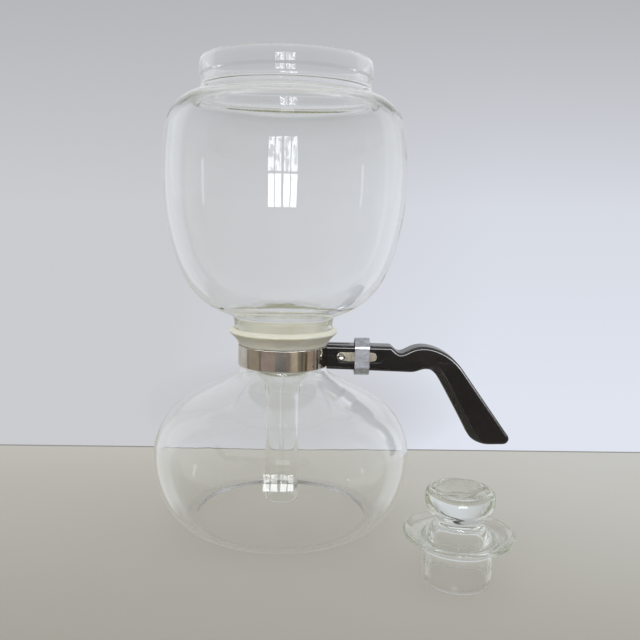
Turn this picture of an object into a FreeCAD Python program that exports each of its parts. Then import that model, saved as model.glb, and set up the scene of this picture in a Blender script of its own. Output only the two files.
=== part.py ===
import FreeCAD, Part
import math
import os

# Siphon coffee maker: a glass decanter with a clamped-on handle, and an upper
# vessel whose long stem hangs in it through a rubber gasket.  Millimetres.
# Origin: centre of the decanter's flat base.  +Z up, +X along the handle.

# ---- driving dimensions ---------------------------------------------------

# decanter
BOWL_WALL = 2.2
BASE_R = 57.5              # flat that the decanter stands on
FLOOR_WALL = 2.8           # glass under the bowl
NECK_R = 29.0              # outside of the decanter's neck
NECK_BORE_R = 26.7
NECK_TOP = 119.5
NECK_FOOT = 104.5          # where the neck starts to open into the bowl

# chrome band round the neck
BAND_R = 29.85
BAND_WALL = 0.7
BAND_LOW = 105.9
BAND_TOP = 119.3
EAR_WALL = 0.7
EAR_GAP = 1.0              # daylight between the two ears
EAR_END_X = 43.0
EAR_TRIM = 1.5             # each ear is this much lower than the band, top and bottom

# handle
GRIP_T = 16.0              # thickness across, along Y
BAR_TOP = 120.2
BAR_LOW = 104.2
NOSE_R = 30.15             # hollow front of the handle, round the band
GRIP_SLOPE = (30.0, -41.3) # way the back of the grip runs
SLOT_T = 2.9               # fork slot that takes the ears
SLOT_END_X = 44.5
HANDLE_ROUND = 2.2         # edge rounding
RIVET_X = 38.9
STRIP_Z = 112.6            # height of the rivet and of both strips

# side strips in their recesses
RECESS_LOW_X = 34.6
RECESS_END_X = 67.0
RECESS_H = 7.8
RECESS_DEPTH = 1.2
STRIP_LOW_X = 35.9
STRIP_END_X = 62.4
STRIP_H = 6.0
STRIP_T = 0.9

# rivet
SHANK_R = 1.6
RIVET_HEAD_R = 2.65
RIVET_HEAD_H = 0.9
RIVET_DIMPLE_R = 1.2

# sliding ring
RING_LOW_X = 47.7
RING_W = 9.8
RING_WALL = 1.0
RING_SIDE_GAP = 0.35
RING_CROWN_TOP = 124.3
RING_CROWN_LOW = 99.5
RING_SHOULDER = 0.4        # how far inside the bar's edges the straight sides end

# upper vessel
WALL = 2.0
RIM_R = 55.1
RIM_TOP = 300.2
RIM_WALL = 2.5
RIM_ROUND_Z = 293.5        # above this the rim's outside leans in to its rounded top
RIM_STEP_Z = 290.2
COLLAR_R = 54.0
COLLAR_LOW = 286.0
SEAT_R = 32.7              # short neck above the gasket
SEAT_FOLD = 134.8          # where the bulb's underside has turned into the short neck
SEAT_LOW = 130.8
STEM_R = 11.4
STEM_TOP = 84.0
STEM_LOW = 12.0
STEM_WALL = 2.1

# gasket
GASKET_GAP = 0.1           # to the upper vessel's glass
PLUG_R = 26.35
PLUG_LOW = 104.6
FLANGE_R = 36.1
FLANGE_Z = 128.4
LIP_R = 33.5
LIP_Z = SEAT_LOW           # level with the foot of the short neck
GASKET_SEAT_Z = 119.75     # underside that sits on the decanter's rim
GASKET_FOOT_R = 29.5

# glass filter rod
ROD_R = 1.6
ROD_LOW = 26.0
ROD_TOP = 122.0
FILTER_R = 18.4
FILTER_Z = 105.3           # widest place of the filter button

# lid, standing beside the decanter
LID_X = 105.4
LID_Y = -86.5


DOWN = (0, -1)             # directions of an outline
INWARDS = (-1, 0)


# ---- helpers ----------------------------------------------------------------

def at(radius, height):
    return FreeCAD.Vector(radius, 0, height)


def line(*points):
    """Straight edges through (radius, height) points."""
    corners = [at(*p) for p in points]
    return [Part.makeLine(a, b) for a, b in zip(corners, corners[1:])]


def smooth(points, start, end):
    """One smooth edge through the points, with its two end directions."""
    places = [at(*p) for p in points]
    travelled = [0.0]
    for a, b in zip(places, places[1:]):
        travelled.append(travelled[-1] + a.distanceToPoint(b))
    curve = Part.BSplineCurve()
    curve.interpolate(Points=places, Parameters=travelled, InitialTangent=at(*start).normalize(),
                      FinalTangent=at(*end).normalize(), Scale=False)
    return [curve.toShape()]


def bend(first, middle, last):
    return [Part.Arc(at(*first), at(*middle), at(*last)).toShape()]


def inset(points, depth):
    """The points moved sideways by depth, to the left of the way they run."""
    moved = []
    for i, (r, z) in enumerate(points):
        r0, z0 = points[max(i - 1, 0)]
        r1, z1 = points[min(i + 1, len(points) - 1)]
        run = math.hypot(r1 - r0, z1 - z0)
        moved.append((r + (z1 - z0) / run * depth, z - (r1 - r0) / run * depth))
    return moved


def turned(edges):
    """Solid of revolution about Z from a closed outline in the XZ plane."""
    wire = Part.Wire(Part.__sortEdges__(edges))
    return Part.Face(wire).revolve(at(0, 0), FreeCAD.Vector(0, 0, 1), 360)


def slab(edges, thickness):
    """Flat body of the outline in the XZ plane, centred on Y = 0."""
    wire = Part.Wire(Part.__sortEdges__(edges))
    wire.translate(FreeCAD.Vector(0, -thickness / 2, 0))
    return Part.Face(wire).extrude(FreeCAD.Vector(0, thickness, 0))


def stadium(low_x, end_x, height, z, y_low, y_high):
    """Round-ended bar along X, between two Y planes."""
    r = height / 2
    a, b = low_x + r, end_x - r
    edges = line((a, z + r), (b, z + r)) + bend((b, z + r), (end_x, z), (b, z - r))
    edges += line((b, z - r), (a, z - r)) + bend((a, z - r), (low_x, z), (a, z + r))
    body = slab(edges, y_high - y_low)
    body.translate(FreeCAD.Vector(0, (y_high + y_low) / 2, 0))
    return body


def across(radius, x, z, y_low, y_high):
    """Round bar along Y."""
    return Part.makeCylinder(radius, y_high - y_low, FreeCAD.Vector(x, y_low, z), FreeCAD.Vector(0, 1, 0))


# ---- decanter ---------------------------------------------------------------

# outside of the bowl, from the foot of the neck down to the flat base
BOWL = [(NECK_R, NECK_FOOT), (29.8, 101.9), (32.2, 99.2), (36.6, 96.6), (43.6, 93.2), (55.4, 87.6),
        (68.4, 79.8), (77.6, 70.0), (83.0, 59.5), (85.4, 47.5), (84.7, 35.5), (82.0, 24.4), (77.6, 14.8),
        (71.9, 7.4), (66.3, 2.8), (61.4, 0.5), (BASE_R, 0)]


def lower_bowl():
    neck_mid = (NECK_R + NECK_BORE_R) / 2
    lip = (NECK_R - NECK_BORE_R) / 2
    edges = line((0, 0), (BASE_R, 0))
    edges += smooth(BOWL, DOWN, INWARDS)
    edges += line((NECK_R, NECK_FOOT), (NECK_R, NECK_TOP - lip))
    edges += bend((NECK_R, NECK_TOP - lip), (neck_mid, NECK_TOP), (NECK_BORE_R, NECK_TOP - lip))
    inside = inset(BOWL, BOWL_WALL)
    inside[0] = (NECK_BORE_R, NECK_FOOT)
    inside[-1] = (BASE_R, FLOOR_WALL)
    edges += line((NECK_BORE_R, NECK_TOP - lip), (NECK_BORE_R, NECK_FOOT))
    edges += smooth(inside, DOWN, INWARDS)
    edges += line((BASE_R, FLOOR_WALL), (0, FLOOR_WALL), (0, 0))
    return turned(edges)


def neck_band():
    hoop = Part.makeCylinder(BAND_R, BAND_TOP - BAND_LOW, at(0, BAND_LOW))
    hoop = hoop.cut(Part.makeCylinder(BAND_R - BAND_WALL, BAND_TOP - BAND_LOW, at(0, BAND_LOW)))
    half_gap = EAR_GAP / 2
    gap = Part.makeBox(BAND_R, EAR_GAP, BAND_TOP - BAND_LOW, FreeCAD.Vector(0, -half_gap, BAND_LOW))
    body = hoop.cut(gap)
    root_x = BAND_R - 0.9 * BAND_WALL
    low, high = BAND_LOW + EAR_TRIM, BAND_TOP - EAR_TRIM
    for y in (half_gap, -half_gap - EAR_WALL):
        ear = Part.makeBox(EAR_END_X - root_x, EAR_WALL, high - low, FreeCAD.Vector(root_x, y, low))
        tip = [e for e in ear.Edges if abs(e.BoundBox.XMin - EAR_END_X) < 0.01 and e.BoundBox.YLength > 0.1]
        body = body.fuse(ear.makeFillet(3.0, tip))
    hole = across(SHANK_R, RIVET_X, STRIP_Z, -5, 5)
    return body.cut(hole).removeSplitter()


# ---- handle -----------------------------------------------------------------

def handle():
    edges = line((24, BAR_LOW), (24, BAR_TOP), (71, BAR_TOP - 0.3))
    # thumb notch and the hump behind it
    edges += smooth([(71, BAR_TOP - 0.3), (74.8, 117.3), (77.9, 115.7), (81.2, 116.5), (86.0, 118.9),
                     (92.4, 120.3), (99.0, 119.6), (105.4, 117.4), (111.6, 113.7), (116.6, 109.1),
                     (120.4, 104.4)],
                    (1, -0.1), GRIP_SLOPE)
    # back of the grip and its rounded heel
    edges += line((120.4, 104.4), (150.4, 63.1))
    edges += smooth([(150.4, 63.1), (152.8, 58.8), (151.4, 55.7), (147, 54.7)], GRIP_SLOPE, (-1, 0))
    edges += smooth([(147, 54.7), (137.4, 54.6), (130.0, 56.7), (125.1, 61.4)], (-1, 0), (-4.2, 8))
    # finger side, up to the underside of the bar
    edges += smooth([(125.1, 61.4), (117.0, 76.4), (108.6, 91.3), (104.6, 98.1), (101.3, 102.4),
                     (97.9, 104.8), (94.4, 105.2), (90.8, 104.2), (87.0, 103.1), (82.5, 103.0)],
                    (-4.2, 8), (-1, 0.02))
    edges += line((82.5, 103.0), (24, BAR_LOW))
    body = slab(edges, GRIP_T)
    half = GRIP_T / 2
    rims = [e for e in body.Edges if e.BoundBox.YLength < 0.01 and e.BoundBox.XMax > 25]
    body = body.makeFillet(HANDLE_ROUND, rims)
    body = body.cut(Part.makeCylinder(NOSE_R, 60, at(0, 90)))
    body = body.cut(Part.makeBox(SLOT_END_X, SLOT_T, 40, FreeCAD.Vector(0, -SLOT_T / 2, 95)))
    for y_low, y_high in ((-half - 1, -half + RECESS_DEPTH), (half - RECESS_DEPTH, half + 1)):
        body = body.cut(stadium(RECESS_LOW_X, RECESS_END_X, RECESS_H, STRIP_Z, y_low, y_high))
    return body.cut(across(SHANK_R, RIVET_X, STRIP_Z, -half, half))


def side_strip(side):
    """Flat steel strip in one recess: side -1 or +1 along Y."""
    floor = side * (GRIP_T / 2 - RECESS_DEPTH)
    face = floor + side * STRIP_T
    strip = stadium(STRIP_LOW_X, STRIP_END_X, STRIP_H, STRIP_Z, min(floor, face), max(floor, face))
    return strip.cut(across(SHANK_R, RIVET_X, STRIP_Z, -GRIP_T, GRIP_T))


def band_rivet():
    face = GRIP_T / 2 - RECESS_DEPTH + STRIP_T
    body = across(SHANK_R - 0.02, RIVET_X, STRIP_Z, -face, face)
    for side in (-1, 1):
        head = Part.makeCone(RIVET_HEAD_R, RIVET_HEAD_R - 0.6, RIVET_HEAD_H,
                             FreeCAD.Vector(RIVET_X, side * face, STRIP_Z), FreeCAD.Vector(0, side, 0))
        dimple = Part.makeCone(0.5 * RIVET_DIMPLE_R, RIVET_DIMPLE_R, 0.6,
                               FreeCAD.Vector(RIVET_X, side * (face + RIVET_HEAD_H - 0.6), STRIP_Z),
                               FreeCAD.Vector(0, side, 0))
        body = body.fuse(head).cut(dimple)
    return body.removeSplitter()


def clamp_ring():
    """Flat strap bent round the bar, with arched top and bottom."""
    def outline(half_y, crown_top, crown_low):
        top, low = BAR_TOP - RING_SHOULDER, BAR_LOW + RING_SHOULDER
        points = [(-half_y, low), (-half_y, top), (0, crown_top),
                  (half_y, top), (half_y, low), (0, crown_low)]
        a, b, c, d, e, f = [FreeCAD.Vector(RING_LOW_X, y, z) for y, z in points]
        arcs = [Part.Arc(b, c, d).toShape(), Part.Arc(e, f, a).toShape()]
        return Part.Wire(Part.__sortEdges__([Part.makeLine(a, b), Part.makeLine(d, e)] + arcs))

    inner_y = GRIP_T / 2 + RING_SIDE_GAP
    outer = Part.Face(outline(inner_y + RING_WALL, RING_CROWN_TOP, RING_CROWN_LOW))
    inner = Part.Face(outline(inner_y, RING_CROWN_TOP - RING_WALL, RING_CROWN_LOW + RING_WALL))
    along = FreeCAD.Vector(RING_W, 0, 0)
    return outer.extrude(along).cut(inner.extrude(along))


# ---- upper vessel -------------------------------------------------------------

# outside of the bulb, from the foot of the collar down to the short neck
BULB = [(COLLAR_R, COLLAR_LOW), (54.6, 282.6), (56.3, 280.2), (61.8, 277.7), (66.4, 275.1), (70.6, 271.3),
        (74.0, 266.0), (76.4, 258.0), (77.9, 246), (78.6, 232), (78.2, 217), (76.9, 203), (74.7, 191),
        (71.7, 179.5), (67.6, 168.5), (62.2, 158.8), (55.2, 150.6), (47.2, 144.8), (40.8, 141.6),
        (36.4, 139.8)]
BULB_END = (-1, -0.44)

# outside of the funnel, from the short neck down to the straight stem
FUNNEL = [(SEAT_R, SEAT_LOW), (31.0, 127.0), (27.0, 122.6), (24.3, 118.4), (23.4, 112.5), (22.4, 106.5),
          (19.6, 101.2), (16.2, 97.0), (13.5, 92.6), (11.9, 88.2), (STEM_R, STEM_TOP)]

# thickened ring inside, where the collar opens into the bulb
SHOULDER_BEAD = [(RIM_R - RIM_WALL, 282.0), (52.9, 277.6), (54.2, 274.6), (56.8, 273.7), (60.2, 274.4)]
BEAD_END = (1, -0.12)


def upper_bowl():
    lip = RIM_WALL / 2
    edges = smooth([(RIM_R - lip, RIM_TOP), (54.5, 299.4), (54.95, 297.2), (RIM_R, RIM_ROUND_Z)],
                   (1, 0), DOWN)
    edges += line((RIM_R, RIM_ROUND_Z), (RIM_R, RIM_STEP_Z), (COLLAR_R, RIM_STEP_Z - 1.2),
                  (COLLAR_R, COLLAR_LOW))
    edges += smooth(BULB, DOWN, BULB_END)
    edges += smooth([BULB[-1], (33.8, 138.0), (SEAT_R, SEAT_FOLD)], BULB_END, DOWN)
    edges += line((SEAT_R, SEAT_FOLD), (SEAT_R, SEAT_LOW))
    edges += smooth(FUNNEL, DOWN, DOWN)
    stem_mid = STEM_R - STEM_WALL / 2
    edges += line((STEM_R, STEM_TOP), (STEM_R, STEM_LOW + STEM_WALL / 2))
    edges += bend((STEM_R, STEM_LOW + STEM_WALL / 2), (stem_mid, STEM_LOW),
                  (STEM_R - STEM_WALL, STEM_LOW + STEM_WALL / 2))
    # inside, back up
    bore = STEM_R - STEM_WALL
    funnel = inset(FUNNEL, WALL)
    funnel[0] = (SEAT_R - WALL, SEAT_LOW)
    funnel[-1] = (bore, STEM_TOP)
    edges += line((bore, STEM_LOW + STEM_WALL / 2), (bore, STEM_TOP))
    edges += smooth(funnel, DOWN, DOWN)
    bulb = inset(BULB, WALL)[6:-2]
    fold = [bulb[-1], (42.2, 144.7), (38.2, 142.8), (34.4, 140.2), (31.7, 136.9), funnel[0]]
    edges += smooth(fold, BULB_END, DOWN)
    edges += smooth([SHOULDER_BEAD[-1]] + bulb, BEAD_END, BULB_END)
    edges += smooth(SHOULDER_BEAD, DOWN, BEAD_END)
    inner_r = RIM_R - RIM_WALL
    edges += line(SHOULDER_BEAD[0], (inner_r, RIM_TOP - lip))
    corner = lip * (1 - math.sqrt(0.5))
    edges += bend((inner_r, RIM_TOP - lip), (inner_r + corner, RIM_TOP - corner), (RIM_R - lip, RIM_TOP))
    return turned(edges)


def gasket():
    """Moulded rubber ring: plug in the decanter's neck, flared flange and a thin top lip."""
    hug = [(r, z) for r, z in inset(FUNNEL, -GASKET_GAP) if z > PLUG_LOW]
    hug[0] = (SEAT_R + GASKET_GAP, LIP_Z)
    last_r = hug[-1][0]
    foot_top = (GASKET_FOOT_R + 0.4, GASKET_SEAT_Z + 0.8)
    edges = smooth(hug, DOWN, (-0.2, -1))
    edges += line(hug[-1], (last_r, PLUG_LOW), (PLUG_R - 1.2, PLUG_LOW), (PLUG_R, PLUG_LOW + 2.5),
                  (PLUG_R, GASKET_SEAT_Z), (GASKET_FOOT_R, GASKET_SEAT_Z), foot_top)
    edges += smooth([foot_top, (32.2, 124.2), (FLANGE_R - 0.5, FLANGE_Z - 0.9)], (0.25, 1), (1, 0.9))
    edges += bend((FLANGE_R - 0.5, FLANGE_Z - 0.9), (FLANGE_R, FLANGE_Z), (FLANGE_R - 0.4, FLANGE_Z + 0.8))
    edges += line((FLANGE_R - 0.4, FLANGE_Z + 0.8), (LIP_R + 0.3, LIP_Z - 0.2))
    edges += line((LIP_R + 0.3, LIP_Z - 0.2), (LIP_R, LIP_Z), hug[0])
    return turned(edges)


def filter_rod():
    """Glass rod with a ground button that rests in the funnel's throat and strains the coffee."""
    widest = (FILTER_R, FILTER_Z)
    under = (2.6, FILTER_Z - 6.6)
    knob_z = ROD_TOP - 3.0
    edges = line((0, ROD_LOW), (0, ROD_TOP), (1.2, ROD_TOP))
    edges += smooth([(1.2, ROD_TOP), (3.8, knob_z), (2.6, knob_z - 3.4)], (1, 0), DOWN)
    edges += smooth([(2.6, knob_z - 3.4), (5.0, FILTER_Z + 6.6), (FILTER_R - 3.4, FILTER_Z + 3.6), widest],
                    DOWN, DOWN)
    edges += smooth([widest, (FILTER_R - 1.4, FILTER_Z - 3.4), (FILTER_R - 6.0, FILTER_Z - 5.6), under],
                    DOWN, (-1, -0.1))
    edges += smooth([under, (ROD_R, FILTER_Z - 9.0)], (-1, -0.1), DOWN)
    edges += line((ROD_R, FILTER_Z - 9.0), (ROD_R, ROD_LOW + 0.8), (ROD_R - 0.8, ROD_LOW), (0, ROD_LOW))
    return turned(edges)


# ---- lid ----------------------------------------------------------------------

def lid():
    """One-piece glass lid: skirt, dished flange, dome and a thick knob with a dished top."""
    edges = smooth([(0, 49.6), (7.5, 50.2), (13.2, 52.2)], (1, 0), (1, 0.4))
    edges += smooth([(13.2, 52.2), (16.4, 53.6), (18.6, 52.6), (19.6, 49.8), (19.5, 46.0), (18.5, 42.6),
                     (16.2, 39.8), (14.2, 37.2), (14.0, 34.6), (15.6, 31.6), (17.8, 28.8), (21.2, 27.0),
                     (25.6, 27.2), (30.2, 29.2)],
                    (1, 0.4), (1, 0.45))
    edges += bend((30.2, 29.2), (31.5, 28.2), (30.6, 26.6))
    edges += smooth([(30.6, 26.6), (26.0, 24.0), (22.0, 22.6), (20.2, 19.8), (19.7, 10.0), (19.5, 1.2)],
                    (-1, -0.5), DOWN)
    edges += bend((19.5, 1.2), (18.3, 0), (17.1, 1.2))
    edges += smooth([(17.1, 1.2), (17.2, 10.0), (17.0, 20.0), (14.2, 27.0), (12.0, 32.0), (8.0, 35.4),
                     (0, 36.4)],
                    (0, 1), INWARDS)
    edges += line((0, 36.4), (0, 49.6))
    body = turned(edges)
    body.translate(FreeCAD.Vector(LID_X, LID_Y, 0))
    return body


NODES = {
    "lower_bowl": lower_bowl,
    "neck_band": neck_band,
    "handle": handle,
    "strip_near": lambda: side_strip(-1),
    "strip_far": lambda: side_strip(1),
    "band_rivet": band_rivet,
    "clamp_ring": clamp_ring,
    "upper_bowl": upper_bowl,
    "gasket": gasket,
    "filter_rod": filter_rod,
    "lid": lid,
}

os.makedirs("parts", exist_ok=True)
for name, make in NODES.items():
    solid = make()
    if solid.ShapeType != "Solid":
        solid = solid.Solids[0]
    box = solid.BoundBox
    print("%-12s valid %s  volume %8.0f  x %.1f..%.1f  y %.1f..%.1f  z %.1f..%.1f" % (
        name, solid.isValid(), solid.Volume, box.XMin, box.XMax, box.YMin, box.YMax, box.ZMin, box.ZMax))
    solid.exportStep("parts/%s.step" % name)
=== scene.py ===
import math

import bmesh
import bpy
from mathutils import Euler, Matrix, Vector


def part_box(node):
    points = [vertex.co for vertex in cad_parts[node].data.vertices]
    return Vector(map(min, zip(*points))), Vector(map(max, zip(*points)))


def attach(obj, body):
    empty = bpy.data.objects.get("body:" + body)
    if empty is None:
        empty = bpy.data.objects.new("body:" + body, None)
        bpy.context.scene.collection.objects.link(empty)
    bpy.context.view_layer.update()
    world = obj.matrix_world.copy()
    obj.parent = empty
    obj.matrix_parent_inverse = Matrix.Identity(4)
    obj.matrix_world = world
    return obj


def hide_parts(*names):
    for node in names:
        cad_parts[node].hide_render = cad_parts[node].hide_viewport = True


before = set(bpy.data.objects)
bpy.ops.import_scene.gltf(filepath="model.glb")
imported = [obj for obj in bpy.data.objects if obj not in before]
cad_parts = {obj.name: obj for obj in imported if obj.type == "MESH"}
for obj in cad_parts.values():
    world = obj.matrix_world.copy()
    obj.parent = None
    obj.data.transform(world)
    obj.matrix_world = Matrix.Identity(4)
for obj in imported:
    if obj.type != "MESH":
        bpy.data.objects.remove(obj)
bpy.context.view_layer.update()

MM = 0.001
TURN = 2 * math.pi
HAIR = 0.002 * MM            # what is nearer than this to a plane or an axis lies on it


# ---- places, from the imported nodes ------------------------------------------

def middle(node):
    low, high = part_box(node)
    return (Vector(low) + Vector(high)) / 2


VESSEL_AXIS = Vector((0, 0, 0))
LID_AXIS = middle("lid")


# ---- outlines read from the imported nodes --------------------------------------

def chain(node, on_line):
    """The node's vertices that pass the test, in the order their edges join them, and whether
    they close into a loop."""
    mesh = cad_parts[node].data
    decimals = 6             # of a metre: vertices that agree to these are one
    keys, places, joined = {}, {}, {}
    for v in mesh.vertices:
        if on_line(v.co):
            key = tuple(round(c, decimals) for c in v.co)
            keys[v.index] = key
            places[key] = v.co.copy()
            joined.setdefault(key, set())
    for e in mesh.edges:
        a, b = (keys.get(i) for i in e.vertices)
        if a and b and a != b:
            joined[a].add(b)
            joined[b].add(a)
    ends = [k for k in joined if len(joined[k]) == 1]
    here = min(ends or joined)
    order, seen = [], set()
    while here is not None:
        order.append(places[here])
        seen.add(here)
        here = next((k for k in sorted(joined[here]) if k not in seen), None)
    return order, not ends


def seam_outline(node, axis):
    """(radius, height) outline of a turned node, and whether it closes on itself."""
    points, closed = chain(node, lambda p: abs(p.y - axis.y) < HAIR and p.x > axis.x - HAIR)
    return [(max(0.0, p.x - axis.x), p.z) for p in points], closed


def soften(points, closed, radius, sharp=22.0, steps=4):
    """Rounds the corners of an outline that turn more than sharp degrees."""
    share = 0.45             # of a run, at most, goes to the corner at each of its ends
    made = []
    count = len(points)
    for i, p in enumerate(points):
        here = Vector(p)
        if not closed and i in (0, count - 1):
            made.append(here)
            continue
        before, after = Vector(points[i - 1]) - here, Vector(points[(i + 1) % count]) - here
        turn = 180 - math.degrees(before.angle(after))
        if turn < sharp:
            made.append(here)
            continue
        reach = min(radius, before.length * share, after.length * share)
        a, b = here + before.normalized() * reach, here + after.normalized() * reach
        for s in range(steps + 1):
            t = s / steps
            made.append((1 - t) ** 2 * a + 2 * t * (1 - t) * here + t ** 2 * b)
    return made


FINE_TURN, COARSE_TURN = 9.0, 15.0   # degrees that one step of a curve may turn


def finer(points, closed, longest, turn_step=COARSE_TURN):
    """Catmull-Rom points between the outline's own. No step is over longest, and none turns
    more than turn_step degrees."""
    count = len(points)
    made = []
    for i in range(count if closed else count - 1):
        p1, p2 = points[i], points[(i + 1) % count]
        p0 = points[i - 1] if closed or i else p1
        p3 = points[(i + 2) % count] if closed or i + 2 < count else p2
        run = (p2 - p1).length
        made.append(p1)
        # a tangent is no longer than its own run, so uneven points don't swing
        out = (p2 - p0).normalized() * run if (p2 - p0).length else p2 - p1
        into = (p3 - p1).normalized() * run if (p3 - p1).length else p2 - p1
        turn = math.degrees(out.angle(into, 0.0))
        pieces = int(max(run / longest, turn / turn_step)) + 1
        for s in range(1, pieces):
            t = s / pieces
            made.append((2 * t**3 - 3 * t**2 + 1) * p1 + (t**3 - 2 * t**2 + t) * out
                        + (3 * t**2 - 2 * t**3) * p2 + (t**3 - t**2) * into)
    if not closed:
        made.append(points[-1])
    return made


# ---- mesh helpers ---------------------------------------------------------------

CRISP_ANGLE = 35             # degrees between faces: a sharper edge than this stays crisp


def add_mesh(name, verts, faces, material, smooth_angle=40):
    mesh = bpy.data.meshes.new(name)
    mesh.from_pydata([tuple(v) for v in verts], [], faces)
    b = bmesh.new()
    b.from_mesh(mesh)
    bmesh.ops.recalc_face_normals(b, faces=b.faces)
    b.to_mesh(mesh)
    b.free()
    mesh.shade_smooth()
    mesh.set_sharp_from_angle(angle=math.radians(smooth_angle))
    obj = bpy.data.objects.new(name, mesh)
    bpy.context.scene.collection.objects.link(obj)
    mesh.materials.append(material)
    return obj


def place(obj, body, node):
    """Puts the piece on its body, in the place of the node, which it hides."""
    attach(obj, body)
    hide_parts(node)


def lofted(name, rings, material, ring_shaped=False, smooth_angle=40):
    """Skin over equal rings of points, closed at both ends or joined end to end."""
    verts = [p for ring in rings for p in ring]
    size, count = len(rings[0]), len(rings)
    faces = []
    for i in range(count if ring_shaped else count - 1):
        a, b = i * size, (i + 1) % count * size
        for k in range(size):
            n = (k + 1) % size
            faces.append((a + k, a + n, b + n, b + k))
    if not ring_shaped:
        faces += [tuple(range(size)), tuple(range((count - 1) * size, count * size))]
    return add_mesh(name, verts, faces, material, smooth_angle)


def inward(outline):
    """Unit normals pointing into a closed 2-D outline."""
    count = len(outline)
    area = sum(a.x * b.y - b.x * a.y for a, b in zip(outline, outline[1:] + outline[:1]))
    side = 1 if area > 0 else -1
    normals = []
    for i in range(count):
        run = (outline[(i + 1) % count] - outline[i - 1]).normalized()
        normals.append(Vector((-run.y, run.x)) * side)
    return normals


def plate(name, outline, y_low, y_high, edge, material, steps):
    """Flat body of an (x, z) outline between two Y planes. edge(normal) gives how far its rim
    reaches in from the outline, how deep it is along Y, and how flat: 0 is round, 1 a chamfer."""
    normals = inward(outline)

    def ring(face, way, t):
        turn = t * math.pi / 2
        points = []
        for p, n in zip(outline, normals):
            reach, depth, flat = edge(n)
            q = p + n * reach * ((1 - flat) * (1 - math.cos(turn)) + flat * t)
            y = face + way * depth * (1 - (1 - flat) * math.sin(turn) - flat * t)
            points.append((q.x, y, q.y))
        return points

    near = [ring(y_low, 1, 1 - s / steps) for s in range(steps + 1)]
    far = [ring(y_high, -1, s / steps) for s in range(steps + 1)]
    return lofted(name, near + far, material)


def strap(name, path, outs, along, half_widths, thickness, rounding, material, ring_shaped=False):
    """Flat strap that follows a path: outs are its face directions, along is its width direction."""
    rings = []
    half = thickness / 2
    corner_steps = 3
    for centre, out, half_width in zip(path, outs, half_widths):
        ring = []
        for sign_w, sign_t in ((1, 1), (-1, 1), (-1, -1), (1, -1)):
            turns = [s / corner_steps * math.pi / 2 for s in range(corner_steps + 1)]
            if sign_w * sign_t < 0:
                turns.reverse()
            for turn in turns:
                w = sign_w * (half_width - rounding * (1 - math.cos(turn)))
                d = sign_t * (half - rounding * (1 - math.sin(turn)))
                ring.append(centre + along * w + out * d)
        rings.append(ring)
    return lofted(name, rings, material, ring_shaped, CRISP_ANGLE)


def cut(obj, cutter):
    """Takes the cutter's volume out of the piece and removes the cutter."""
    tool = obj.modifiers.new("cut", "BOOLEAN")
    tool.operation = "DIFFERENCE"
    tool.solver = "MANIFOLD"
    tool.object = cutter
    bpy.context.view_layer.update()
    made = bpy.data.meshes.new_from_object(obj.evaluated_get(bpy.context.evaluated_depsgraph_get()))
    obj.modifiers.clear()
    obj.data = made
    made.set_sharp_from_angle(angle=math.radians(CRISP_ANGLE))
    bpy.data.objects.remove(cutter)


def weigh_normals(obj):
    """Keeps large flat faces flat in shading beside their small round edges."""
    obj.modifiers.new("flat_faces", "WEIGHTED_NORMAL").keep_sharp = True


def turned(name, outline, closed, axis, material, around=224, shape=None):
    """Solid of revolution about an upright axis. shape, given a point's angle, radius and height,
    may move it."""
    verts, rings = [], []
    for r, z in outline:
        if r < HAIR:
            rings.append([len(verts)])
            verts.append((axis.x, axis.y, z))
            continue
        rings.append(range(len(verts), len(verts) + around))
        for k in range(around):
            a = TURN * k / around
            moved_r, moved_z = shape(a, r, z) if shape else (r, z)
            verts.append((axis.x + moved_r * math.cos(a), axis.y + moved_r * math.sin(a), moved_z))
    faces = []
    pairs = list(zip(rings, rings[1:]))
    if closed:
        pairs.append((rings[-1], rings[0]))
    for low, high in pairs:
        for k in range(around):
            n = (k + 1) % around
            corners = [low[k % len(low)], low[n % len(low)], high[n % len(high)], high[k % len(high)]]
            corners = list(dict.fromkeys(corners))
            if len(corners) > 2:
                faces.append(corners)
    return add_mesh(name, verts, faces, material, smooth_angle=30)


def turned_node(name, node, axis, body, material, rounding=0.35 * MM, step=1.1 * MM, shape=None):
    """A turned piece in place of a turned node, with its corners rounded and its curves smooth."""
    outline, closed = seam_outline(node, axis)
    outline = finer(soften(outline, closed, rounding), closed, step, FINE_TURN)
    piece = turned(name, outline, closed, axis, MATERIALS[material], shape=shape)
    place(piece, body, node)


# ---- node-tree helpers ------------------------------------------------------------

def new_material(name):
    m = bpy.data.materials.new(name)
    m.use_nodes = True
    m.node_tree.nodes.clear()
    return m


def put(tree, kind, settings=None, **inputs):
    """A new shader node with its settings and inputs. An input is a value or another node's socket,
    and its name is the input's name, or _ and its number."""
    n = tree.nodes.new("ShaderNode" + kind)
    for key, value in (settings or {}).items():
        setattr(n, key, value)
    for key, value in inputs.items():
        socket = n.inputs[int(key[1:])] if key[0] == "_" else n.inputs[key.replace("_", " ")]
        if isinstance(value, bpy.types.NodeSocket):
            tree.links.new(value, socket)
        else:
            socket.default_value = value
    return n


def calc(tree, operation, a, b=0.0, clamp=False):
    return put(tree, "Math", {"operation": operation, "use_clamp": clamp}, _0=a, _1=b).outputs[0]


def noise(tree, scale, detail, roughness=0.5, stretch=(1, 1, 1)):
    """Noise in object space, in features per metre."""
    where = put(tree, "TexCoord").outputs["Object"]
    where = put(tree, "Mapping", _0=where, Scale=stretch).outputs[0]
    return put(tree, "TexNoise", Vector=where, Scale=scale, Detail=detail,
               Roughness=roughness).outputs["Fac"]


def ramp(tree, value, low, high, out_low=0.0, out_high=1.0):
    """The value from low..high brought to out_low..out_high, and clamped there."""
    ends = {"From Min": low, "From Max": high, "To Min": out_low, "To Max": out_high}
    return put(tree, "MapRange", {"clamp": True}, Value=value, **ends).outputs[0]


def blend_colour(tree, factor, a, b):
    return put(tree, "Mix", {"data_type": "RGBA"}, _0=factor, _6=a, _7=b).outputs[2]


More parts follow.
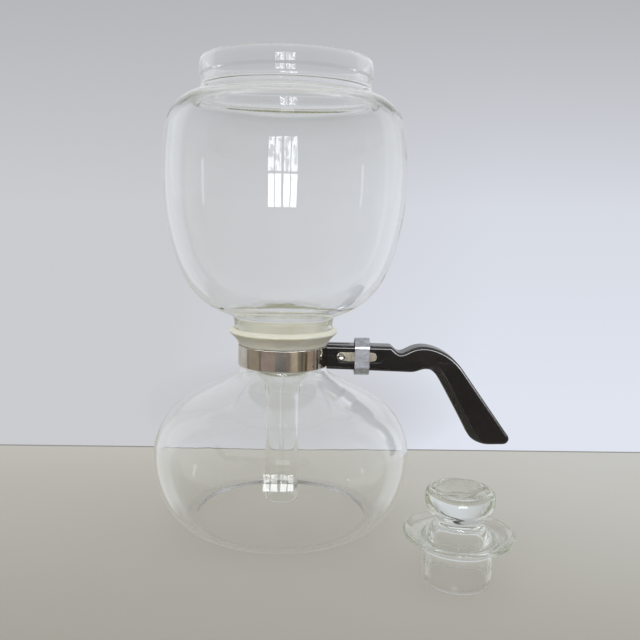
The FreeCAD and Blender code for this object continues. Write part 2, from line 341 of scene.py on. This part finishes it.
def blend_shader(tree, factor, a, b):
    return put(tree, "MixShader", _0=factor, _1=a, _2=b).outputs[0]


def object_xyz(tree):
    """X, Y and Z of the shaded point, in metres."""
    return put(tree, "SeparateXYZ", _0=put(tree, "TexCoord").outputs["Object"]).outputs


def bump(tree, height, strength, distance, below=None):
    inputs = {"Height": height, "Strength": strength, "Distance": distance}
    if below:
        inputs["Normal"] = below
    return put(tree, "Bump", **inputs).outputs[0]


def principled(tree, **inputs):
    return put(tree, "BsdfPrincipled", **inputs).outputs[0]


def finish_material(tree, surface, volume=None):
    out = put(tree, "OutputMaterial", Surface=surface)
    if volume:
        tree.links.new(volume, out.inputs["Volume"])


# ---- materials ----------------------------------------------------------------------

WORN_ABOVE = 8 * MM          # the glass is worn dull this far above the gasket
GRIP_ROUGHNESS = 0.05
FOOT_TOP = 5 * MM            # the dullness of the foot fades out between these heights
FOOT_WORN = 1.5 * MM
FOOT_ROUGHNESS = 0.3


def glass(name, tint, dull, absorb, density, wave, wave_scale):
    """Clear blown glass: slow waves in its surface, faint smudges, and a green cast where it is thick.
    It is worn dull at its foot, and a little where the gasket grips it and just above."""
    m = new_material(name)
    t = m.node_tree
    waves = noise(t, wave_scale, detail=2.0, roughness=0.4, stretch=(1, 1, 0.6))
    normal = bump(t, waves, wave, 1.2 * MM)
    film = ramp(t, noise(t, 35.0, detail=5.0, roughness=0.65), 0.5, 0.78)
    film = calc(t, "MULTIPLY", film, ramp(t, noise(t, 900.0, detail=3.0, roughness=0.6), 0.3, 0.7))
    colour = blend_colour(t, film, tint, dull)
    height = object_xyz(t)["Z"]
    gasket_low, gasket_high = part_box("gasket")
    gripped = calc(t, "MULTIPLY", calc(t, "GREATER_THAN", height, gasket_low[2]),
                   calc(t, "LESS_THAN", height, gasket_high[2] + WORN_ABOVE))
    foot = ramp(t, height, FOOT_WORN, FOOT_TOP, FOOT_ROUGHNESS, 0.0)
    rough = calc(t, "MAXIMUM", calc(t, "MULTIPLY", gripped, GRIP_ROUGHNESS), foot)
    clear = principled(t, Base_Color=colour, Roughness=rough, IOR=1.474, Transmission_Weight=1.0,
                       Normal=normal)
    lets_light_by = put(t, "BsdfTransparent", Color=(0.985, 0.987, 0.98, 1)).outputs[0]
    surface = blend_shader(t, put(t, "LightPath").outputs["Is Shadow Ray"], clear, lets_light_by)
    finish_material(t, surface, put(t, "VolumeAbsorption", Color=absorb, Density=density).outputs[0])
    return m


def chrome_material():
    """Old chrome plate: bright, with fine rub marks along the band and small dull pits."""
    m = new_material("band_chrome")
    t = m.node_tree
    rub = noise(t, 260.0, detail=5.0, roughness=0.6, stretch=(1, 1, 14))
    cloud = noise(t, 90.0, detail=5.0, roughness=0.6)
    pits = ramp(t, noise(t, 620.0, detail=3.0, roughness=0.5), 0.66, 0.74)
    plating = blend_colour(t, ramp(t, cloud, 0.35, 0.7), (0.78, 0.75, 0.71, 1), (0.62, 0.57, 0.50, 1))
    colour = blend_colour(t, pits, plating, (0.16, 0.12, 0.09, 1))
    rough = calc(t, "ADD", ramp(t, cloud, 0.3, 0.75, 0.07, 0.2), calc(t, "MULTIPLY", pits, 0.35))
    normal = bump(t, rub, 0.10, 0.1 * MM)
    normal = bump(t, noise(t, 60.0, detail=2.0), 0.25, 0.5 * MM, normal)
    finish_material(t, principled(t, Base_Color=colour, Metallic=1.0, Roughness=rough, Normal=normal))
    return m


# a dark ring of painted shade about the rivet's centre line, just outside the dish in its head
SHADE_RING_STARTS = (1.35 * MM, 1.6 * MM)   # from the rivet's centre line
SHADE_RING_ENDS = (2.2 * MM, 2.45 * MM)


def steel_material(name, light, dark, dullness, scale=300.0, shade_ring_about=None):
    """Worn plated steel: dulled in patches, scratched, with dark specks. A dark ring of painted
    shade can lie about a line along Y."""
    m = new_material(name)
    t = m.node_tree
    patches = noise(t, scale, detail=6.0, roughness=0.65)
    specks = ramp(t, noise(t, scale * 3.2, detail=4.0, roughness=0.6), 0.60, 0.70)
    scratches = ramp(t, noise(t, scale * 1.5, detail=4.0, roughness=0.7, stretch=(0.12, 1, 6)), 0.56, 0.66)
    base = blend_colour(t, ramp(t, patches, 0.38, 0.62), light, dark)
    colour = blend_colour(t, calc(t, "MULTIPLY", specks, 0.5), base, (0.07, 0.06, 0.055, 1))
    # painted shade: a dark ring about the given line, between the radii above
    if shade_ring_about is not None:
        parts = object_xyz(t)
        dx = calc(t, "SUBTRACT", parts["X"], shade_ring_about.x)
        dz = calc(t, "SUBTRACT", parts["Z"], shade_ring_about.z)
        away = calc(t, "SQRT", calc(t, "ADD", calc(t, "MULTIPLY", dx, dx), calc(t, "MULTIPLY", dz, dz)))
        shade_ring = calc(t, "MULTIPLY", ramp(t, away, *SHADE_RING_STARTS), ramp(t, away, *SHADE_RING_ENDS, 1, 0))
        colour = blend_colour(t, calc(t, "MULTIPLY", shade_ring, 0.93), colour, (0.05, 0.045, 0.04, 1))
    rough = calc(t, "ADD", ramp(t, patches, 0.3, 0.7, *dullness),
                 calc(t, "MULTIPLY", scratches, 0.12), clamp=True)
    normal = bump(t, patches, 0.2, 0.1 * MM)
    normal = bump(t, scratches, 0.15, 0.05 * MM, normal)
    finish_material(t, principled(t, Base_Color=colour, Metallic=1.0, Roughness=rough, Normal=normal))
    return m


def bakelite_material():
    """Moulded bakelite: near black with a brown cast, polished, handled and lightly scratched."""
    m = new_material("bakelite")
    t = m.node_tree
    cloud = noise(t, 70.0, detail=5.0, roughness=0.6)
    grain = noise(t, 1500.0, detail=3.0, roughness=0.6)
    scratches = ramp(t, noise(t, 420.0, detail=3.0, roughness=0.7, stretch=(0.08, 1, 1)), 0.62, 0.70)
    colour = blend_colour(t, ramp(t, cloud, 0.35, 0.7), (0.0060, 0.0050, 0.0050, 1),
                          (0.0115, 0.0090, 0.0080, 1))
    rough = calc(t, "ADD", ramp(t, cloud, 0.3, 0.72, 0.12, 0.22), calc(t, "MULTIPLY", scratches, 0.14))
    normal = bump(t, grain, 0.04, 0.06 * MM)
    normal = bump(t, noise(t, 55.0, detail=2.0), 0.10, 0.6 * MM, normal)
    normal = bump(t, scratches, 0.05, 0.03 * MM, normal)
    finish_material(t, principled(t, Base_Color=colour, Roughness=rough, IOR=1.58, Coat_Weight=0.15,
                                  Coat_Roughness=0.08, Normal=normal))
    return m


def rubber_material():
    """Aged natural rubber: cream, a little translucent, mottled, with a fine skin."""
    m = new_material("gasket_rubber")
    t = m.node_tree
    mottle = noise(t, 110.0, detail=6.0, roughness=0.6)
    skin = noise(t, 900.0, detail=4.0, roughness=0.6)
    colour = blend_colour(t, ramp(t, mottle, 0.3, 0.72), (0.73, 0.715, 0.635, 1), (0.65, 0.63, 0.53, 1))
    colour = blend_colour(t, ramp(t, skin, 0.58, 0.74, 0.0, 0.35), colour, (0.60, 0.57, 0.46, 1))
    rough = ramp(t, mottle, 0.3, 0.7, 0.38, 0.58)
    normal = bump(t, skin, 0.12, 0.15 * MM)
    finish_material(t, principled(t, Base_Color=colour, Roughness=rough, IOR=1.5, Normal=normal,
                                  Subsurface_Weight=0.55, Subsurface_Radius=(1.0, 0.85, 0.5),
                                  Subsurface_Scale=4 * MM))
    return m


CLEAN = (0.990, 0.992, 0.986, 1)
SMUDGED = (0.955, 0.958, 0.950, 1)
MATERIALS = {
    "clear_glass": glass("clear_glass", CLEAN, SMUDGED, absorb=(0.71, 0.72, 0.54, 1), density=8.0,
                         wave=0.16, wave_scale=38.0),
    "lid_glass": glass("lid_glass", CLEAN, SMUDGED, absorb=(0.66, 0.71, 0.54, 1), density=9.0,
                       wave=0.34, wave_scale=85.0),
    "filter_glass": glass("filter_glass", CLEAN, (0.86, 0.87, 0.85, 1), absorb=(0.7, 0.8, 0.62, 1),
                          density=6.0, wave=0.1, wave_scale=120.0),
    "band_chrome": chrome_material(),
    "bakelite": bakelite_material(),
    "ring_steel": steel_material("ring_steel", light=(0.60, 0.61, 0.65, 1), dark=(0.42, 0.43, 0.47, 1),
                                 dullness=(0.26, 0.44)),
    "strip_steel": steel_material("strip_steel", light=(0.54, 0.49, 0.39, 1), dark=(0.34, 0.30, 0.24, 1),
                                  dullness=(0.28, 0.45), scale=420.0),
    "rivet_steel": steel_material("rivet_steel", light=(0.70, 0.67, 0.60, 1), dark=(0.40, 0.37, 0.32, 1),
                                  dullness=(0.2, 0.4), scale=600.0, shade_ring_about=middle("band_rivet")),
    "gasket_rubber": rubber_material(),
}


# ---- camera ---------------------------------------------------------------------------

CAMERA_PLACE = Vector((0.0243, -0.4752, 0.2020))
SENSOR_MM, LENS_MM = 36, 40.5
CAMERA_DOWN = math.radians(7.93)
CAMERA_ROLL = math.radians(1.19)


def make_camera():
    data = bpy.data.cameras.new("camera")
    data.sensor_width = SENSOR_MM
    data.lens = LENS_MM
    camera = bpy.data.objects.new("camera", data)
    bpy.context.scene.collection.objects.link(camera)
    camera.location = CAMERA_PLACE
    pitch = Euler((math.radians(90) - CAMERA_DOWN, 0, 0)).to_matrix()
    roll = Euler((0, 0, CAMERA_ROLL)).to_matrix()
    camera.rotation_euler = (pitch @ roll).to_euler()
    bpy.context.scene.camera = camera


# ---- glass, rubber -----------------------------------------------------------------------

def filter_flutes(angle, r, z):
    """Fine ground flutes round the rim of the filter button."""
    rim_r, flutes, depth = 14 * MM, 40, 0.3 * MM
    if r < rim_r:
        return r, z
    return r - depth * (0.5 + 0.5 * math.cos(flutes * angle)), z


def make_turned_pieces():
    turned_node("decanter_glass", "lower_bowl", VESSEL_AXIS, "decanter", "clear_glass")
    turned_node("upper_glass", "upper_bowl", VESSEL_AXIS, "upper_vessel", "clear_glass")
    turned_node("rubber_gasket", "gasket", VESSEL_AXIS, "upper_vessel", "gasket_rubber",
                rounding=0.5 * MM, step=0.7 * MM)
    turned_node("glass_filter_rod", "filter_rod", VESSEL_AXIS, "filter", "filter_glass",
                rounding=0.4 * MM, step=0.4 * MM, shape=filter_flutes)
    turned_node("glass_lid", "lid", LID_AXIS, "lid", "lid_glass", rounding=0.4 * MM, step=0.6 * MM)


# ---- handle, its fixings, band and ring --------------------------------------------------

HANDLE_ROUND = 2.2 * MM      # rounding along the handle's outline
FINGER_WAY = Vector((0.885, 0.465))   # into the grip, from its finger side
CHAMFER = 5.0 * MM           # the finger side's wide soft chamfer
CHAMFER_DEPTH = 3.2 * MM
CHAMFER_FLAT = 0.72          # 0 would be round, 1 flat
CHAMFER_STARTS, CHAMFER_FULL = 0.55, 0.95   # how far the outline faces FINGER_WAY there
NOSE_SPARE = 5 * MM          # the handle is made this much too long in front, then cut
BAND_GAP = 0.3 * MM          # from the band to the handle's hollow nose
SLOT_HALF = 1.45 * MM
SLOT_SPARE = 1.5 * MM        # the slot goes this much deeper than the band's ears
RECESS_DEPTH = 1.2 * MM
RECESS_MARGIN = 0.9 * MM     # the recess is this much taller than its strip, each side
RECESS_BEFORE = 1.3 * MM     # it goes this far past the strip, towards the band
RECESS_BEYOND = 4.6 * MM     # and towards the grip
RECESS_CHAMFER = 0.25 * MM
CLEAR = 10 * MM              # how far an upright cutter stands out above the handle


def stadium(low_x, end_x, z, half_height, steps=16):
    """Round-ended outline along X."""
    points = []
    for centre, start in ((end_x - half_height, -math.pi / 2), (low_x + half_height, math.pi / 2)):
        for s in range(steps + 1):
            a = start + math.pi * s / steps
            points.append(Vector((centre + half_height * math.cos(a), z + half_height * math.sin(a))))
    return points


def handle_outline():
    """The handle's widest outline, carried forward past its hollow nose."""
    rim_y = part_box("handle")[0][1] + HANDLE_ROUND
    points, _ = chain("handle", lambda p: abs(p.y - rim_y) < HAIR)
    # the chain starts at the nose's lower corner and goes up the nose first
    outline = [Vector((p.x, p.z)) for p in points[1:] + points[:1]]
    nose_x = outline[0].x - NOSE_SPARE
    outline = [Vector((nose_x, outline[0].y))] + outline + [Vector((nose_x, outline[-1].y))]
    return finer(outline, True, 1.3 * MM)


def handle_edge(normal):
    """Round all along, and a wide soft chamfer where the fingers go."""
    facing = (normal.dot(FINGER_WAY) - CHAMFER_STARTS) / (CHAMFER_FULL - CHAMFER_STARTS)
    t = min(1.0, max(0.0, facing))
    t = t * t * (3 - 2 * t)
    reach = HANDLE_ROUND + t * (CHAMFER - HANDLE_ROUND)
    depth = HANDLE_ROUND + t * (CHAMFER_DEPTH - HANDLE_ROUND)
    return reach, depth, CHAMFER_FLAT * t


def recess_cutter(side, strip_low, strip_high, face):
    """Stadium cutter for one strip's recess, with a small chamfer at the mouth."""
    middle_z = (strip_low[2] + strip_high[2]) / 2
    half = (strip_high[2] - strip_low[2]) / 2 + RECESS_MARGIN
    low_x, end_x = strip_low[0] - RECESS_BEFORE, strip_high[0] + RECESS_BEYOND
    outside = -1 * MM
    rings = []
    for depth, grow in ((RECESS_DEPTH, 0), (RECESS_CHAMFER, 0), (0, RECESS_CHAMFER),
                        (outside, RECESS_CHAMFER)):
        outline = stadium(low_x - grow, end_x + grow, middle_z, half + grow)
        rings.append([(p.x, side * (face - depth), p.y) for p in outline])
    return lofted("recess", rings, MATERIALS["bakelite"])


def upright_cutter(name, corners, z_low, z_high):
    """Upright column over (x, y) corners."""
    return lofted(name, [[(x, y, z) for x, y in corners] for z in (z_low, z_high)], MATERIALS["bakelite"])


def make_handle():
    """Moulded body, cut to the band's curve in front, with a slot for its ears and two recesses."""
    low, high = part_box("handle")
    band_low, band_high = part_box("neck_band")
    z_low, z_high = low[2], high[2] + CLEAR
    body = plate("bakelite_handle", handle_outline(), low[1], high[1], handle_edge,
                 MATERIALS["bakelite"], steps=7)
    nose_r, around = -band_low[0] + BAND_GAP, 160
    circle = [(nose_r * math.cos(TURN * k / around), nose_r * math.sin(TURN * k / around))
              for k in range(around)]
    cut(body, upright_cutter("nose", circle, z_low, z_high))
    slot_end = band_high[0] + SLOT_SPARE
    corners = ((0, -SLOT_HALF), (slot_end, -SLOT_HALF), (slot_end, SLOT_HALF), (0, SLOT_HALF))
    cut(body, upright_cutter("slot", corners, z_low, z_high))
    for side, node in ((-1, "strip_near"), (1, "strip_far")):
        cut(body, recess_cutter(side, *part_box(node), high[1]))
    weigh_normals(body)
    place(body, "decanter", "handle")


def strip_edge(normal):
    """Small and round, whichever way the outline faces."""
    return 0.25 * MM, 0.25 * MM, 0


def make_strips():
    for node in ("strip_near", "strip_far"):
        low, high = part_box(node)
        outline = stadium(low[0], high[0], (low[2] + high[2]) / 2, (high[2] - low[2]) / 2)
        strip = plate("steel_" + node, outline, low[1], high[1], strip_edge,
                      MATERIALS["strip_steel"], steps=3)
        weigh_normals(strip)
        place(strip, "decanter", node)


def make_rivet():
    """Rivet with a dished round head at each end, against the strips' faces."""
    low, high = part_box("band_rivet")
    head_r, end = (high[0] - low[0]) / 2, high[1]
    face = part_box("strip_far")[1][1]
    dimple_r, dimple, round_r, shank_r = 1.25 * MM, 0.55 * MM, 0.45 * MM, 1.5 * MM
    half = [(0, end - dimple), (0.5 * dimple_r, end - 0.85 * dimple), (dimple_r, end - 0.08 * MM),
            (dimple_r + 0.25 * MM, end), (head_r - round_r, end - 0.1 * MM),
            (head_r - 0.1 * MM, end - round_r), (head_r, face + 0.05 * MM), (head_r, face), (shank_r, face)]
    outline = [Vector((r, -s)) for r, s in half] + [Vector((r, s)) for r, s in reversed(half)]
    outline = finer(soften(outline, False, 0.2 * MM), False, 0.6 * MM)
    rivet = turned("handle_rivet", outline, False, VESSEL_AXIS, MATERIALS["rivet_steel"], around=64)
    across = Matrix.Rotation(math.radians(-90), 4, "X")
    centre = middle("band_rivet")
    rivet.data.transform(Matrix.Translation((centre.x, 0, centre.z)) @ across)
    place(rivet, "decanter", "band_rivet")


def make_band():
    """Chrome strap round the neck, with both ends turned out into the handle's slot."""
    low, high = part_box("neck_band")
    thickness = 0.7 * MM
    r, ear_y, ear_end = -low[0] - thickness / 2, 0.85 * MM, high[0]
    half_height, middle_z = (high[2] - low[2]) / 2, (high[2] + low[2]) / 2
    # the strap narrows by the trim at each side over the taper's length, from hoop to ears
    ear_trim, taper = 1.5 * MM, 3 * MM
    around, gap = 168, math.radians(4)
    turns = [gap + (TURN - 2 * gap) * k / around for k in range(around + 1)]
    hoop = [Vector((r * math.cos(a), r * math.sin(a))) for a in turns]
    ears = [[Vector((ear_end, y)), Vector((r, y))] for y in (ear_y, -ear_y)]
    line = ears[0] + hoop + ears[1][::-1]
    line = finer(soften(line, False, 1.0 * MM), False, 1.4 * MM)
    path, outs, halves = [], [], []
    for i, p in enumerate(line):
        run = (line[min(i + 1, len(line) - 1)] - line[max(i - 1, 0)]).normalized()
        on_ear = min(1.0, max(0.0, (p.x - r) / taper))
        path.append(Vector((p.x, p.y, middle_z)))
        outs.append(Vector((run.y, -run.x, 0)))
        halves.append(half_height - ear_trim * on_ear)
    band = strap("chrome_band", path, outs, Vector((0, 0, 1)), halves, thickness, 0.22 * MM,
                 MATERIALS["band_chrome"])
    weigh_normals(band)
    place(band, "decanter", "neck_band")


def make_ring():
    """Steel strap bent into a ring round the handle's bar, arched above and below."""
    low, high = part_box("clamp_ring")
    thickness = 1.0 * MM
    half = thickness / 2
    side_y, top, foot = high[1] - half, high[2] - half, low[2] + half
    shoulder = 4.6 * MM          # how much lower the bends are than the crown
    arch_r = (side_y ** 2 + shoulder ** 2) / (2 * shoulder)
    half_steps = 6
    arch = []
    for s in range(2 * half_steps + 1):
        y = side_y * (1 - s / half_steps)
        arch.append((y, shoulder - arch_r + math.sqrt(arch_r ** 2 - y ** 2)))
    outline = [Vector((y, top - shoulder + rise)) for y, rise in arch]
    outline += [Vector((-y, foot + shoulder - rise)) for y, rise in arch]
    outline = finer(soften(outline, True, 1.6 * MM, steps=6), True, 0.9 * MM)
    outs = [Vector((0, -n.x, -n.y)) for n in inward(outline)]
    path = [Vector(((low[0] + high[0]) / 2, p.x, p.y)) for p in outline]
    ring = strap("steel_clamp_ring", path, outs, Vector((1, 0, 0)), [(high[0] - low[0]) / 2] * len(path),
                 thickness, 0.3 * MM, MATERIALS["ring_steel"], ring_shaped=True)
    weigh_normals(ring)
    place(ring, "ring", "clamp_ring")


# ---- stage ------------------------------------------------------------------------------------

TABLE_END = 0.146            # the table's far edge, where the paler backdrop starts
TABLE_SKEW = math.radians(1.6)
EDGE_SOFT = 0.4 * MM
# painted shade: a dark line just in front of the table's far edge
EDGE_SHADE_STARTS, EDGE_SHADE_FULL = 4.0 * MM, 2.2 * MM   # a dark line comes in this far in front of the edge
EVEN_LIGHT = 0.72            # the share of the table's colour that it gives out evenly itself
FLOOR_Z = -0.3 * MM
# The backdrop's slow shading, and a soft shadow painted on it, are laid out as slopes sideways and
# upwards from one fixed place in front of the object, about where the camera of the front view is.
FAN_Y, FAN_Z = -0.475, 0.2
SHADOW_CENTRE = (0.01, -0.265)
SHADOW_SIZE = (0.19, 0.07)


def table_colour(t, parts, line):
    """Paler towards the back and a little towards the right, with a dark line of painted shade along its
    far edge.
    """
    away = ramp(t, parts["Y"], -0.24, 0.14)
    table = blend_colour(t, away, (0.320, 0.308, 0.268, 1), (0.51, 0.495, 0.45, 1))
    rightward = calc(t, "MULTIPLY", away, ramp(t, parts["X"], -0.1, 0.25, 0.0, 0.7))
    table = blend_colour(t, rightward, table, (0.56, 0.56, 0.54, 1))
    stains = ramp(t, noise(t, 9.0, detail=4.0, roughness=0.6), 0.3, 0.7, 0.0, 0.05)
    table = blend_colour(t, stains, table, (0.3, 0.28, 0.25, 1))
    return blend_colour(t, calc(t, "MULTIPLY", line, 0.85), table, (0.2, 0.19, 0.18, 1))


def backdrop_colour(t, parts):
    """Bluish white, dimmer to the left and towards the top, with a soft shadow painted low down."""
    depth = calc(t, "SUBTRACT", parts["Y"], FAN_Y)
    sideways = calc(t, "DIVIDE", parts["X"], depth)
    upwards = calc(t, "DIVIDE", calc(t, "SUBTRACT", parts["Z"], FAN_Z), depth)
    lit = calc(t, "MULTIPLY", ramp(t, sideways, -0.2, 0.25), ramp(t, upwards, -0.25, 0.3, 1.0, 0.2))
    wall = blend_colour(t, lit, (0.590, 0.600, 0.628, 1), (0.745, 0.780, 0.870, 1))
    wall = blend_colour(t, ramp(t, upwards, 0.02, 0.30, 0.0, 0.85), wall, (0.435, 0.445, 0.465, 1))
    across, along = (calc(t, "DIVIDE", calc(t, "SUBTRACT", value, centre), size) for value, centre, size
                     in zip((sideways, upwards), SHADOW_CENTRE, SHADOW_SIZE))
    off_centre = calc(t, "ADD", calc(t, "MULTIPLY", across, across), calc(t, "MULTIPLY", along, along))
    return blend_colour(t, ramp(t, off_centre, 0.1, 1.5, 0.55, 0.0), wall, (0.47, 0.47, 0.475, 1))


def stage_material():
    """Table top up to its far edge, and the backdrop beyond it."""
    m = new_material("stage")
    m.cycles.emission_sampling = "NONE"
    t = m.node_tree
    parts = object_xyz(t)
    edge = calc(t, "SUBTRACT", parts["Y"], calc(t, "MULTIPLY", parts["X"], math.tan(TABLE_SKEW)))
    beyond = ramp(t, edge, TABLE_END - EDGE_SOFT, TABLE_END + EDGE_SOFT)
    # painted shade: a dark line just in front of the table's far edge
    line = calc(t, "MULTIPLY", ramp(t, edge, TABLE_END - EDGE_SHADE_STARTS, TABLE_END - EDGE_SHADE_FULL),
                calc(t, "SUBTRACT", 1.0, beyond))
    table = table_colour(t, parts, line)
    grain = bump(t, noise(t, 700.0, detail=3.0), 0.05, 0.1 * MM)
    top = principled(t, Base_Color=table, Roughness=0.5, Specular_IOR_Level=0.25, Normal=grain)
    # as under light from all around, which leaves hardly any shadow
    even = put(t, "Emission", Color=table, Strength=1.0).outputs[0]
    top = blend_shader(t, EVEN_LIGHT, top, even)
    back = put(t, "Emission", Color=backdrop_colour(t, parts), Strength=1.0).outputs[0]
    finish_material(t, blend_shader(t, beyond, top, back))
    return m


def make_stage():
    """Table top in front, and behind it a pale sweep that rises far away."""
    half_width, near, far, rise, steps, top = 4.0, -3.0, 2.2, 1.0, 24, 4.0
    profile = [(near, FLOOR_Z), (far, FLOOR_Z)]
    for s in range(1, steps + 1):
        a = math.pi / 2 * s / steps
        profile.append((far + rise * math.sin(a), FLOOR_Z + rise * (1 - math.cos(a))))
    profile.append((far + rise, top))
    verts = [(x, y, z) for y, z in profile for x in (-half_width, half_width)]
    faces = [(2 * i, 2 * i + 1, 2 * i + 3, 2 * i + 2) for i in range(len(profile) - 1)]
    sweep = add_mesh("sweep", verts, faces, stage_material())
    if sweep.data.polygons[0].normal.z < 0:
        sweep.data.flip_normals()
    # shining surfaces show the studio of make_world instead
    sweep.visible_glossy = False


# ---- light ------------------------------------------------------------------------------------

# What the metal and the handle mirror, as (bearing low, high, height low, high, softness, colour),
# in degrees. Bearing 0 is in front of the object, positive to its right; height 0 is level.
FURNITURE = (
    (-101, -94, -35, -8, 2, (0.20, 0.17, 0.13, 1)),
    (-94, -60, -35, -8, 2, (0.33, 0.29, 0.23, 1)),
    (-60, -54, -35, -6, 1.5, (0.14, 0.115, 0.095, 1)),
    (-54, -18, -35, -4, 2, (0.32, 0.265, 0.24, 1)),
    (-18, 13, -35, -10.5, 1.5, (0.13, 0.13, 0.135, 1)),
    (13, 23, -35, -6, 1.5, (0.24, 0.20, 0.18, 1)),
    (23, 41, -35, -6, 1.5, (0.46, 0.41, 0.32, 1)),
    (41, 50, -35, -6, 1.5, (0.20, 0.18, 0.13, 1)),
    (50, 55, -35, -6, 1, (0.08, 0.065, 0.04, 1)),
    (55, 61, -35, -6, 1, (0.20, 0.17, 0.12, 1)),
    (61, 68, -35, -6, 1, (0.07, 0.055, 0.03, 1)),
    (68, 86, -35, -6, 2, (0.33, 0.26, 0.21, 1)),
    (86, 94, -35, -6, 2, (0.17, 0.13, 0.10, 1)),
)
BRIGHT_PLACES = (
    (-60, 60, 6, 38, 4, (1.6, 1.65, 1.75, 1)),
    (-75, 75, 15, 25, 3, (16.0, 16.5, 17.0, 1)),
    (-24, -6, -37, -24, 5, (2.6, 2.5, 2.4, 1)),
)
# What glass mirrors, as (bearing low, high, height low, high): a paned window in front, pale walls
# at the sides and behind, and small lamps.
PANE_COLUMNS = ((-12.3, -6.9), (-5.9, -0.5), (1.6, 6.9), (7.8, 12.8))
LOWER_PANES = [column + (-10.3, 1.5) for column in PANE_COLUMNS]
UPPER_PANES = [column + (2.5, 15.3) for column in PANE_COLUMNS]
SIDE_WALLS = ((-140, -106, -35, 45), (106, 140, -35, 45), (-180, -140, 14, 80), (140, 180, 14, 80))
SIDE_LAMPS = ((-77, -74, -7, 7), (74.5, 77, -7, 6), (-3, 10, 31, 38))
LOWER_PANE_LIGHT, UPPER_PANE_LIGHT, SIDE_WALL_LIGHT, SIDE_LAMP_LIGHT = 15.0, 12.0, 1.15, 2.6


def background(tree, colour, strength=1.0):
    return put(tree, "Background", Color=colour, Strength=strength).outputs[0]


def make_world():
    """Pale studio surroundings. What shines in the object has a room with a window to mirror."""
    world = bpy.data.worlds.new("studio")
    world.use_nodes = True
    bpy.context.scene.world = world
    t = world.node_tree
    t.nodes.clear()
    around = put(t, "TexCoord").outputs["Generated"]
    way = put(t, "SeparateXYZ", _0=around).outputs
    to_front = calc(t, "MULTIPLY", way["Y"], -1.0)
    bearing = calc(t, "MULTIPLY", calc(t, "ARCTAN2", way["X"], to_front), math.degrees(1))
    height = calc(t, "MULTIPLY", calc(t, "ARCSINE", way["Z"]), math.degrees(1))
    aside = calc(t, "ABSOLUTE", bearing)

    def between(value, low, high, soft):
        return calc(t, "MULTIPLY", ramp(t, value, low - soft, low + soft),
                    ramp(t, value, high - soft, high + soft, 1.0, 0.0))

    def patch(b_low, b_high, h_low, h_high, soft):
        return calc(t, "MULTIPLY", between(bearing, b_low, b_high, soft),
                    between(height, h_low, h_high, soft))

    def any_of(patches, soft):
        found = patch(*patches[0], soft)
        for p in patches[1:]:
            found = calc(t, "MAXIMUM", found, patch(*p, soft))
        return found

    to_sides = ramp(t, aside, 60, 110)
    above = blend_colour(t, to_sides, (0.30, 0.295, 0.29, 1), (0.62, 0.63, 0.66, 1))
    above = blend_colour(t, ramp(t, height, 15, 50), above, (0.60, 0.61, 0.63, 1))
    below = blend_colour(t, to_sides, (0.42, 0.40, 0.355, 1), (0.50, 0.485, 0.445, 1))
    room = blend_colour(t, ramp(t, height, -3, -14), above, below)

    # trees outside darken parts of the upper panes
    clumps = put(t, "TexNoise", Vector=around, Scale=16.0, Detail=3.0, Distortion=0.6).outputs["Fac"]
    branches = ramp(t, clumps, 0.42, 0.50, 0.25, 1.0)
    lit_parts = (
        (any_of(SIDE_WALLS, soft=3), SIDE_WALL_LIGHT),
        (any_of(SIDE_LAMPS, soft=0.5), SIDE_LAMP_LIGHT),
        (calc(t, "MULTIPLY", any_of(UPPER_PANES, soft=0.3), branches), UPPER_PANE_LIGHT),
        (any_of(LOWER_PANES, soft=0.3), LOWER_PANE_LIGHT),
    )
    in_glass = background(t, room)
    for part, strength in lit_parts:
        in_glass = blend_shader(t, part, in_glass, background(t, (0.94, 0.97, 1.0, 1), strength))

    furnished = room
    for b_low, b_high, h_low, h_high, soft, colour in FURNITURE + BRIGHT_PLACES:
        furnished = blend_colour(t, patch(b_low, b_high, h_low, h_high, soft), furnished, colour)
    in_metal = background(t, furnished)

    # clear glass is perfectly sharp, so its mirrored rays are the singular ones
    path = put(t, "LightPath").outputs
    shine = blend_shader(t, path["Is Singular Ray"], in_metal, in_glass)
    seen_through = path["Is Transmission Ray"]
    mirrored = calc(t, "MULTIPLY", path["Is Glossy Ray"], calc(t, "SUBTRACT", 1.0, seen_through))
    plain = background(t, (0.93, 0.945, 0.97, 1), 0.66)
    through = blend_colour(t, ramp(t, aside, 40, 90), (0.54, 0.535, 0.52, 1), (0.68, 0.69, 0.71, 1))
    through = blend_colour(t, ramp(t, aside, 102, 112), through, (0.86, 0.88, 0.91, 1))
    rest = blend_shader(t, seen_through, plain, background(t, through))
    put(t, "OutputWorld", Surface=blend_shader(t, mirrored, rest, shine))


def soft_light(name, location, target, width, height, power, colour):
    """Rectangular light that is neither seen nor mirrored."""
    data = bpy.data.lights.new(name, "AREA")
    data.shape = "RECTANGLE"
    data.size, data.size_y = width, height
    data.energy = power
    data.color = colour
    light = bpy.data.objects.new(name, data)
    bpy.context.scene.collection.objects.link(light)
    light.location = location
    light.rotation_euler = (Vector(target) - Vector(location)).to_track_quat("-Z", "Y").to_euler()
    light.visible_camera = False
    light.visible_glossy = False
    light.visible_transmission = False


def make_lights():
    soft_light("window_light", location=(-0.5, -1.6, 1.3), target=(0, 0, 0.1), width=0.9, height=1.1,
               power=16, colour=(1.0, 0.99, 0.97))
    soft_light("fill_right", location=(1.6, -0.6, 1.1), target=(0, 0, 0.1), width=1.0, height=1.2,
               power=8, colour=(0.96, 0.98, 1.0))
    soft_light("sky", location=(0, 0.6, 2.4), target=(0, 0.4, 0), width=2.4, height=2.4,
               power=26, colour=(0.97, 0.985, 1.0))


# ---- build ----------------------------------------------------------------------------------------

make_camera()
make_turned_pieces()
make_handle()
make_strips()
make_rivet()
make_band()
make_ring()
make_stage()
make_world()
make_lights()

scene = bpy.context.scene
scene.view_settings.view_transform = "Standard"
# light is mirrored many times inside the glass before it leaves
bounces = 80
scene.cycles.max_bounces = bounces
scene.cycles.transmission_bounces = bounces
scene.cycles.glossy_bounces = bounces
scene.cycles.transparent_max_bounces = 40
